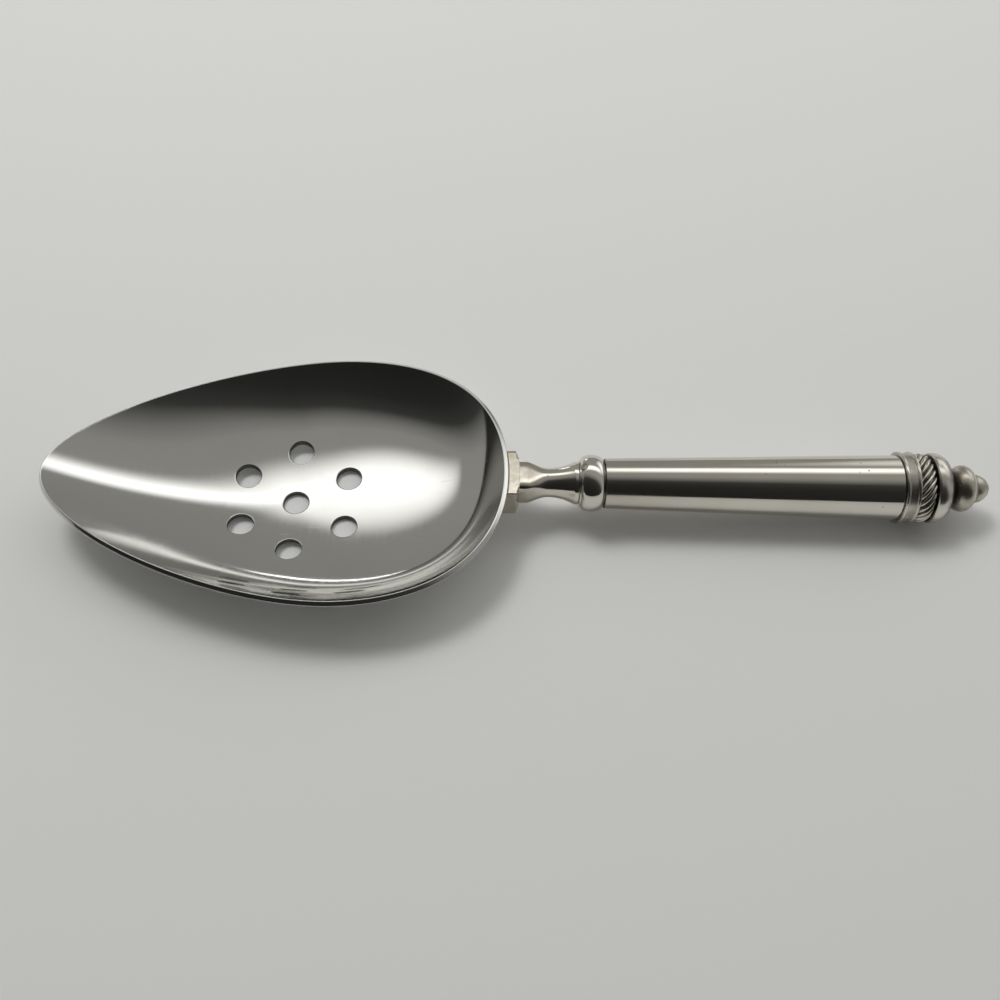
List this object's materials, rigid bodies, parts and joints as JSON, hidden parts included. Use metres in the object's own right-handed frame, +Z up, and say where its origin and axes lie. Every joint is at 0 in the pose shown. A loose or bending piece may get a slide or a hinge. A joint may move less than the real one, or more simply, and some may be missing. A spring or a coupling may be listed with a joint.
{
  "type": "pierced serving spoon",
  "caption": "Serving spoon with a wide egg-shaped bowl pierced by round drain holes, a waisted neck and a hollow tapered handle that ends in a rope ring, a rounded cap and a ball finial.",
  "frame": {"origin": "on the table under the spoon as it lies, midway between the bowl's tip and the finial's end", "axes": "+X along the spoon from the bowl towards the finial, +Z up out of the open bowl, +Y completes a right-handed frame"},
  "size_m": [0.253, 0.0808, 0.0194],
  "materials": {
    "bowl_steel": "polished",
    "handle_plate": "polished",
    "end_plate": "gloss",
    "rod_steel": "satin",
    "filler": "matte"
  },
  "bodies": {
    "root": {"bowl": "bowl_steel", "neck": "handle_plate", "bead_ring": "handle_plate", "tang": "rod_steel", "handle_tube": "handle_plate", "handle_cement": "filler", "end_collar": "end_plate", "rope_ring": "end_plate", "end_cap": "end_plate", "finial": "end_plate"}
  },
  "joints": []
}
